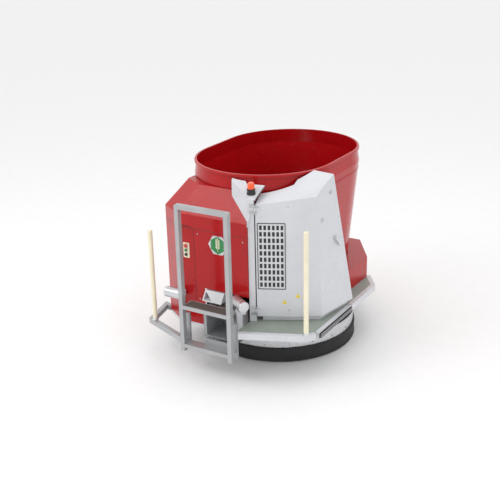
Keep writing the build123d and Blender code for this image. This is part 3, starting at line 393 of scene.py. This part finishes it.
def make_cabinet_trim():
    """The vent's frame and screen, the plain markers and the cover's screws."""
    frame_line = Mesh()
    corners = [(0.146 + a * 0.125, 1.148 + b * 0.319) for a, b in ((-1, -1), (1, -1), (1, 1), (-1, 1))]
    points = [face(HINGE, FOLD_1, u, z)[0] for u, z in corners]
    normal = face(HINGE, FOLD_1, 0, 0)[1]
    for i in range(4):
        frame_line.bar([points[i], points[(i + 1) % 4]], normal, 0.007, 0.004)
    frame_line.make("vent_frame", "cover_door", "black_plastic")
    back = Mesh()
    for col in range(6):
        for row in range(10):
            u = 0.146 + (col - 2.5) * 0.240 / 6.2
            z = 1.148 + (row - 4.5) * 0.628 / 10.2
            ends = [face(HINGE, FOLD_1, u, z + half, -0.004)[0] for half in (-0.0245, 0.0245)]
            back.bar(ends, normal, 0.029, 0.0015)
    back.make("vent_screen", "cover_door", "black_plastic")
    marks = Mesh()
    for p, q, u, z in ((HINGE, FOLD_1, 0.262, 0.700), (FOLD_1, FOLD_2, 0.060, 0.760),
                       (FOLD_1, FOLD_2, 0.125, 0.760)):
        at, n = face(p, q, u, z)
        across, up, _ = basis(n)
        low = [at - across * 0.024 - up * 0.018, at + across * 0.024 - up * 0.018, at + up * 0.026]
        mid = sum(low, Vector()) / 3
        marks.loops([low, [v + n * 0.0012 for v in low], [mid + (v - mid) * 0.9 + n * 0.0018 for v in low]])
    marks.make("plain_markers", "cover_door", "yellow")
    spots = []
    for z in (0.62, 1.62):
        for u in (0.03, 0.30):
            at, n = face(HINGE, FOLD_1, u, z)
            spots.append((at, n))
    bolts("cover_screws", spots, "cover_door", radius=0.005)


def make_beacon_trim():
    """Ribs round the beacon's lens, and two collars round its base."""
    ribs = Mesh()
    rib = [(0.031, 0), (0.0326, 0.0012), (0.0326, 0.0022), (0.031, 0.0034)]
    for k in range(7):
        ribs.turned((BEACON_X, BEACON_Y, 1.776 + 0.006 * k), UP, rib, 36)
    ribs.make("beacon_ribs", "chassis", "lens_orange")
    collar = Mesh()
    for z, profile in ((1.720, [(0.0365, 0), (0.040, 0.003), (0.040, 0.009), (0.0365, 0.012)]),
                       (1.760, [(0.0365, 0), (0.0385, 0.002), (0.0385, 0.008), (0.0365, 0.010)])):
        collar.turned((BEACON_X, BEACON_Y, z), UP, profile, 36)
    collar.make("beacon_collar", "chassis", "black_plastic")


def make_badge():
    """A plain hexagon with an ear of grain, on the CAD badge."""
    low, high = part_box("emblem_badge")
    front, centre = low.y, (low + high) / 2
    proud = front - 0.002
    plate = Mesh()
    field = [(0.088, 0), (0.088, 0.001), (0.084, 0.002)]
    plate.turned((centre.x, front, centre.z), FRONT, field, 6, radians(30))
    plate.make("badge_field", "chassis", "green_plastic")
    ear = Mesh()
    for k in range(5):
        for side in (-1, 1):
            ear.blob((centre.x + side * 0.014, proud, centre.z - 0.024 + k * 0.018), FRONT,
                     0.026, 0.011, 0.003, pi / 2 - side * radians(28))
    ear.blob((centre.x, proud, centre.z + 0.062), FRONT, 0.026, 0.012, 0.003, pi / 2)
    ear.bar([(centre.x, proud, centre.z + dz) for dz in (-0.064, 0.05)], FRONT, 0.004, 0.002)
    ear.make("badge_grain_ear", "chassis", "cream_plastic")


def rod_socket(name, body, at):
    """The collar that holds a feeler rod."""
    socket = Mesh()
    socket.turned(at, UP, [(0.032, 0), (0.032, 0.006), (0.027, 0.010), (0.026, 0.022), (0.0235, 0.024)])
    socket.make(name, body, "alloy")


def make_gate_trim():
    """The step's grip, the gate's bolts and both rod sockets."""
    low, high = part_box("step_plate")
    grip = Mesh()
    ring = [(low.x + 0.012, low.y + 0.012), (high.x - 0.012, low.y + 0.012),
            (high.x - 0.012, high.y - 0.012), (low.x + 0.012, high.y - 0.012)]
    grip.loops([[Vector((x, y, high.z + dz)) for x, y in ring] for dz in (0, 0.0015)])
    stud = [(0.0065, 0), (0.006, 0.002), (0.0035, 0.002), (0.003, 0)]
    for i in range(22):
        for j in range(6):
            x = low.x + 0.024 + i * (high.x - low.x - 0.048) / 21
            y = low.y + 0.022 + j * (high.y - low.y - 0.044) / 5
            grip.turned((x, y, high.z + 0.0015), UP, stud, 10)
    grip.make("step_grip", "gate", "grip")
    spots = []
    glow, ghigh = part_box("gate_frame")
    for x, side in ((glow.x, -1), (ghigh.x, 1)):
        for z in (0.278, 0.640, 0.720, 1.600):
            spots.append(((x, glow.y + 0.025, z), (side, 0, 0)))
    bolts("gate_bolts", spots, "gate", radius=0.007)
    rod_socket("far_rod_socket", "gate", (-0.716, -1.074, 0.352))
    rod_socket("near_rod_socket", "chassis", (0.887, -0.949, 0.500))


def make_sensor_trim():
    """A light ring round each sensor's face, and a band round its body."""
    rings = Mesh()
    bezel = [(0.0505, -0.001), (0.052, 0.001), (0.0505, 0.0035), (0.043, 0.0035), (0.042, 0.0005)]
    band = [(0.052, 0), (0.0535, 0.002), (0.0535, 0.008), (0.052, 0.01)]
    for x, y, z, aim in ((0.318, -1.085, 0.706, -33.0), (-0.600, -1.014, 0.655, 180.0)):
        n = Vector((cos(radians(aim)), sin(radians(aim)), 0))
        rings.turned((x, y, z), n, bezel, 40)
        rings.turned(Vector((x, y, z)) - n * 0.06, n, band, 40)
    rings.make("sensor_rings", "chassis", "alloy")


def make_hood_trim():
    """The hood's seam, the recess edge in painted shade, door gasket, screws and blank label."""
    seam = Mesh()
    ends = [face(*DIAGONAL, u, HOOD_SEAM_Z)[0] for u in (0.004, 0.264)]
    seam.bar(ends, face(*DIAGONAL, 0, 0)[1], 0.005, 0.0008)
    seam.bar([(x, HOOD_FRONT, HOOD_SEAM_Z) for x in (-0.496, 0.275)], FRONT, 0.0035, 0.0006)
    seam.make("hood_seam", "chassis", "black_plastic")
    edge = Mesh()
    outline = []
    for cx, cz, turn in ((-0.3675, 1.275, 0), (-0.4085, 1.275, 1), (-0.4085, 0.590, 2),
                         (-0.3675, 0.590, 3)):
        for k in range(7):
            t = (turn + k / 6) * pi / 2
            outline.append((cx + 0.070 * cos(t), HOOD_FRONT, cz + 0.070 * sin(t)))
    # the recess's rim is a bar in the darker red: a painted shade line along the edge of the recess
    edge.bar(outline, FRONT, 0.006, 0.0015, closed=True)
    edge.make("recess_edge_shade", "chassis", "tub_red")
    gasket = Mesh()
    n = face(HINGE, FOLD_1, 0, 0)[1]
    gasket.bar([face(HINGE, FOLD_1, -0.002, z, 0.0005)[0] for z in (0.560, 1.684)], n, 0.008, 0.0012)
    gasket.bar([(0.347, -0.898, 1.687), (0.371, -0.750, 1.786)], (0, -0.5, 1), 0.007, 0.0012)
    gasket.make("door_gasket", "chassis", "black_plastic")
    spots = [((x, HOOD_FRONT, z), FRONT) for x in (-0.255, 0.24) for z in (0.62, 1.28)]
    bolts("hood_screws", spots, "chassis", radius=0.005)
    label = Mesh()
    for z, height, lift in ((0.590, 0.062, 0.001), (0.603, 0.030, 0.002)):
        half = height / 2
        ring = [(-0.410, z - half), (-0.355, z - half), (-0.355, z + half), (-0.410, z + half)]
        label.loops([[Vector((x, RECESS_FLOOR - d, h)) for x, h in ring] for d in (0, lift)])
    label.make("blank_label", "chassis", "cream_plastic")


def make_wheels():
    """Drive tyres with a cut tread, and their hub nuts."""
    for side, body, node, hub in ((1, "drive_wheel_left", "drive_tyre_left", "drive_hub_left"),
                                  (-1, "drive_wheel_right", "drive_tyre_right", "drive_hub_right")):
        low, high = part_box(node)
        tyre = Mesh()
        at = Vector((low.x, (low.y + high.y) / 2, (low.z + high.z) / 2))
        w = high.x - low.x
        bore = 0.106
        profile = [(bore, 0), (0.118, 0), (0.124, 0.008), (0.124, w - 0.008), (0.118, w), (bore, w)]
        u, v, n = basis((1, 0, 0))
        rings = []
        for radius, height in profile:
            rings.append([at + n * height + (u * cos(t) + v * sin(t)) * radius for t in angles(64)])
        tyre.loops(rings, closed=True)
        for t in angles(32):
            d, s = u * cos(t) + v * sin(t), v * cos(t) - u * sin(t)
            for first, last, skew in ((0.006, w / 2 - 0.002, 0.010), (w / 2 + 0.002, w - 0.006, -0.010)):
                a, b = at + n * first + d * 0.1225 + s * skew, at + n * last + d * 0.1225
                tyre.bar([a, b], d, 0.012, 0.0065)
        tyre.make(f"{node}_tread", body, "tyre", stands_for=(node,))
        outer = high.x if side > 0 else low.x
        spots = []
        for t in angles(5):
            spots.append((Vector((outer - side * 0.002, at.y, at.z))
                          + (u * cos(t) + v * sin(t)) * 0.045, (side, 0, 0)))
        bolts(f"{hub}_nuts", spots, body, radius=0.008)


def make_buffer_trim():
    """Light strips between the side buffer's ribs, and its end cap."""
    low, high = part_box("side_buffer_ribs")
    strips = Mesh()
    for z in (0.4795, 0.4605):
        strips.bar([(high.x - 0.006, low.y, z), (high.x - 0.006, high.y, z)], (1, 0, 0), 0.008, 0.007)
    strips.make("buffer_strips", "chassis", "alloy")
    cap = Mesh()
    middle = (low.z + high.z) / 2
    ends = [(low.x, low.y + dy, middle) for dy in (-0.014, 0.004)]
    cap.bar(ends, (1, 0, 0), high.z - low.z, 0.012)
    cap.make("buffer_end_cap", "chassis", "black_plastic")


def make_underside_trim():
    """The motor's fins, the gearbox's bolts and the control box's lid."""
    low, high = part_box("mixing_motor")
    fins, middle, radius = Mesh(), (low + high) / 2, (high.x - low.x) / 2
    fin = [(radius, 0), (radius + 0.006, 0.001), (radius + 0.006, 0.004), (radius, 0.005)]
    for k in range(8):
        fins.turned((middle.x, low.y + 0.03 + k * (high.y - low.y - 0.06) / 7, middle.z), (0, 1, 0), fin, 32)
    fins.make("motor_fins", "chassis", "frame_paint")
    low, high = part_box("gearbox")
    middle = (low + high) / 2
    spots = [((middle.x + a * (high.x - low.x) * 0.42, low.y, middle.z + b * 0.08), FRONT)
             for a in (-1, 1) for b in (-1, 1)]
    bolts("gearbox_bolts", spots, "chassis", radius=0.010)
    low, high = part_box("control_box")
    door = Mesh()
    ring = [(low.x + 0.012, low.z + 0.02), (high.x - 0.012, low.z + 0.02),
            (high.x - 0.012, high.z - 0.02), (low.x + 0.012, high.z - 0.02)]
    door.loops([[Vector((x, low.y - d, z)) for x, z in ring] for d in (0, 0.003)])
    door.make("control_box_lid", "chassis", "black_plastic")


def make_details():
    make_flight()
    make_tub_trim()
    make_skirt_trim()
    make_cabinet_trim()
    make_beacon_trim()
    make_badge()
    make_gate_trim()
    make_sensor_trim()
    make_hood_trim()
    make_wheels()
    make_buffer_trim()
    make_underside_trim()


# ---- camera, light and floor -----------------------------------------------------
def make_camera():
    az, el, roll = (radians(a) for a in (CAMERA_AZIMUTH, CAMERA_ELEVATION, CAMERA_ROLL))
    back = Vector((sin(az) * cos(el), -cos(az) * cos(el), sin(el)))
    level = Vector((cos(az), sin(az), 0))
    rise = back.cross(level)
    right = level * cos(roll) + rise * sin(roll)
    up = rise * cos(roll) - level * sin(roll)
    data = bpy.data.cameras.new("camera")
    data.lens = CAMERA_LENS
    data.sensor_width = SENSOR
    camera = bpy.data.objects.new("camera", data)
    camera.matrix_world = Matrix((right, up, back)).transposed().to_4x4()
    camera.location = CAMERA_AT
    bpy.context.collection.objects.link(camera)
    bpy.context.scene.camera = camera


def area_light(name, at, aim, size, power):
    data = bpy.data.lights.new(name, "AREA")
    data.shape = "RECTANGLE"
    data.size, data.size_y = size
    data.energy = power
    light = bpy.data.objects.new(name, data)
    light.location = at
    light.rotation_euler = (Vector(aim) - Vector(at)).to_track_quat("-Z", "Y").to_euler()
    bpy.context.collection.objects.link(light)


def make_stage():
    world = bpy.data.worlds.new("studio")
    world.use_nodes = True
    world.node_tree.nodes["Background"].inputs["Color"].default_value = (1, 1, 1, 1)
    world.node_tree.nodes["Background"].inputs["Strength"].default_value = 0.95
    bpy.context.scene.world = world
    bpy.context.scene.view_settings.view_transform = "Standard"
    area_light("key", (-3.2, -5.0, 6.0), (0, 0, 0.9), (3.5, 3.5), 110)
    area_light("fill", (6.0, -3.0, 4.0), (0, 0, 0.9), (3.0, 3.0), 20)
    area_light("top", (0.5, 1.0, 7.0), (0, 0, 0.5), (5.0, 5.0), 60)
    mesh = bpy.data.meshes.new("floor")
    half = 60.0
    corners = [(-half, -half, 0), (half, -half, 0), (half, half, 0), (-half, half, 0)]
    mesh.from_pydata(corners, [], [(0, 1, 2, 3)])
    floor = bpy.data.objects.new("floor", mesh)
    bpy.context.collection.objects.link(floor)
    floor.data.materials.append(surface("floor_paper", (0.93, 0.93, 0.93), 0.8, vary=0.01, bump=0.01))


dress_cad()
make_details()
make_camera()
make_stage()
